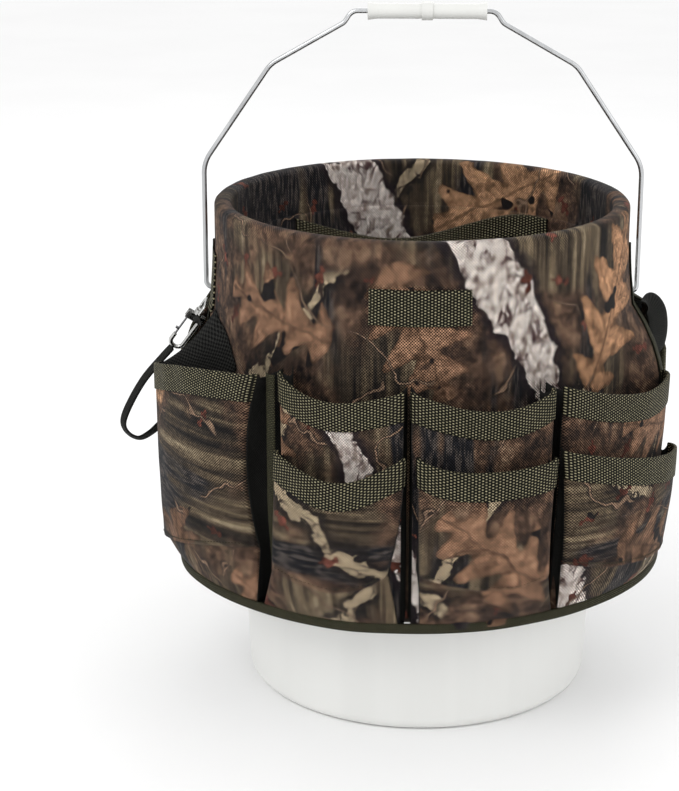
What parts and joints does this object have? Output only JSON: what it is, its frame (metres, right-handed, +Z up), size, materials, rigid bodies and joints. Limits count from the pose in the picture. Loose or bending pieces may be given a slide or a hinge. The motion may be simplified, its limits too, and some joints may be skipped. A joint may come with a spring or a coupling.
{
  "type": "tool bucket organizer",
  "caption": "Pocketed fabric organizer hung over the rim of a white pail, with a wire bail and grip, webbing-edged tool pockets, side loop, snap hook and strap.",
  "frame": {"origin": "centre of the pail's flat base, on the floor it stands on", "axes": "+Z up along the pail's axis, front pockets towards -Y, bail ears along X with +X the right-hand ear"},
  "size_m": [0.4246, 0.3848, 0.5157],
  "materials": {
    "printed_cloth": null,
    "lining_cloth": "the same cloth down the inside of the pail",
    "gusset_cloth": "near-black cloth of the side walls",
    "olive_webbing": "coarse woven olive webbing",
    "olive_tape": "fine olive binding tape",
    "dark_webbing": "near-black webbing",
    "pail_plastic": "white moulded polyethylene",
    "grip_plastic": "white moulded plastic",
    "zinc_wire": "zinc plated wire",
    "snap_metal": "nickel plated casting",
    "spring_steel": "spring steel"
  },
  "bodies": {
    "organizer": {"back_apron": "printed_cloth", "back_edge_binding": "olive_tape", "back_inner_pocket": "printed_cloth", "back_inner_trim": "olive_webbing", "back_left_gussets": "gusset_cloth", "back_left_lower_pocket": "printed_cloth", "back_left_lower_trim": "olive_webbing", "back_left_upper_pocket": "printed_cloth", "back_left_upper_trim": "olive_webbing", "back_middle_gussets": "gusset_cloth", "back_middle_lower_pocket": "printed_cloth", "back_middle_lower_trim": "olive_webbing", "back_middle_upper_pocket": "printed_cloth", "back_middle_upper_trim": "olive_webbing", "back_right_gussets": "gusset_cloth", "back_right_lower_pocket": "printed_cloth", "back_right_lower_trim": "olive_webbing", "back_right_upper_pocket": "printed_cloth", "back_right_upper_trim": "olive_webbing", "back_tall_gussets": "gusset_cloth", "back_tall_pocket": "printed_cloth", "back_tall_trim": "olive_webbing", "front_apron": "printed_cloth", "front_edge_binding": "olive_tape", "front_inner_pocket": "printed_cloth", "front_inner_trim": "olive_webbing", "front_left_gussets": "gusset_cloth", "front_left_lower_pocket": "printed_cloth", "front_left_lower_trim": "olive_webbing", "front_left_upper_pocket": "printed_cloth", "front_left_upper_trim": "olive_webbing", "front_middle_gussets": "gusset_cloth", "front_middle_lower_pocket": "printed_cloth", "front_middle_lower_trim": "olive_webbing", "front_middle_upper_pocket": "printed_cloth", "front_middle_upper_trim": "olive_webbing", "front_right_gussets": "gusset_cloth", "front_right_lower_pocket": "printed_cloth", "front_right_lower_trim": "olive_webbing", "front_right_upper_pocket": "printed_cloth", "front_right_upper_trim": "olive_webbing", "front_tall_gussets": "gusset_cloth", "front_tall_pocket": "printed_cloth", "front_tall_trim": "olive_webbing", "front_web_band": "olive_webbing", "lining": "lining_cloth", "pail": "pail_plastic", "rim_cover": "printed_cloth", "side_web_loop": "dark_webbing", "snap_eye": "snap_metal", "snap_tab": "olive_webbing", "tape_strap": "dark_webbing"},
    "bail": {"bail_wire": "zinc_wire"},
    "grip": {"bail_grip": "grip_plastic"},
    "snap": {"snap_hook": "snap_metal", "snap_gate_pin": "spring_steel", "snap_gate_spring": "spring_steel"},
    "gate": {"snap_gate": "spring_steel"}
  },
  "joints": [
    {"name": "bail_swing", "type": "hinge", "parent": "organizer", "child": "bail", "pos_m": [0, 0, 0.302], "axis": [1, 0, 0], "range_deg": [-90, 90]},
    {"name": "grip_spin", "type": "hinge", "parent": "bail", "child": "grip", "pos_m": [0, 0, 0.509], "axis": [1, 0, 0], "continuous": true},
    {"name": "snap_swivel", "type": "hinge", "parent": "organizer", "child": "snap", "pos_m": [-0.165, -0.017, 0.288], "axis": [0.5663, -0.2059, 0.798], "range_deg": [-12, 12]},
    {"name": "gate_open", "type": "hinge", "parent": "snap", "child": "gate", "pos_m": [-0.17365, -0.01606, 0.28436], "axis": [0, -0.9683, -0.2499], "range_deg": [0, 18], "stiffness_Nm_per_rad": 0.01, "springref_deg": -17.19}
  ]
}
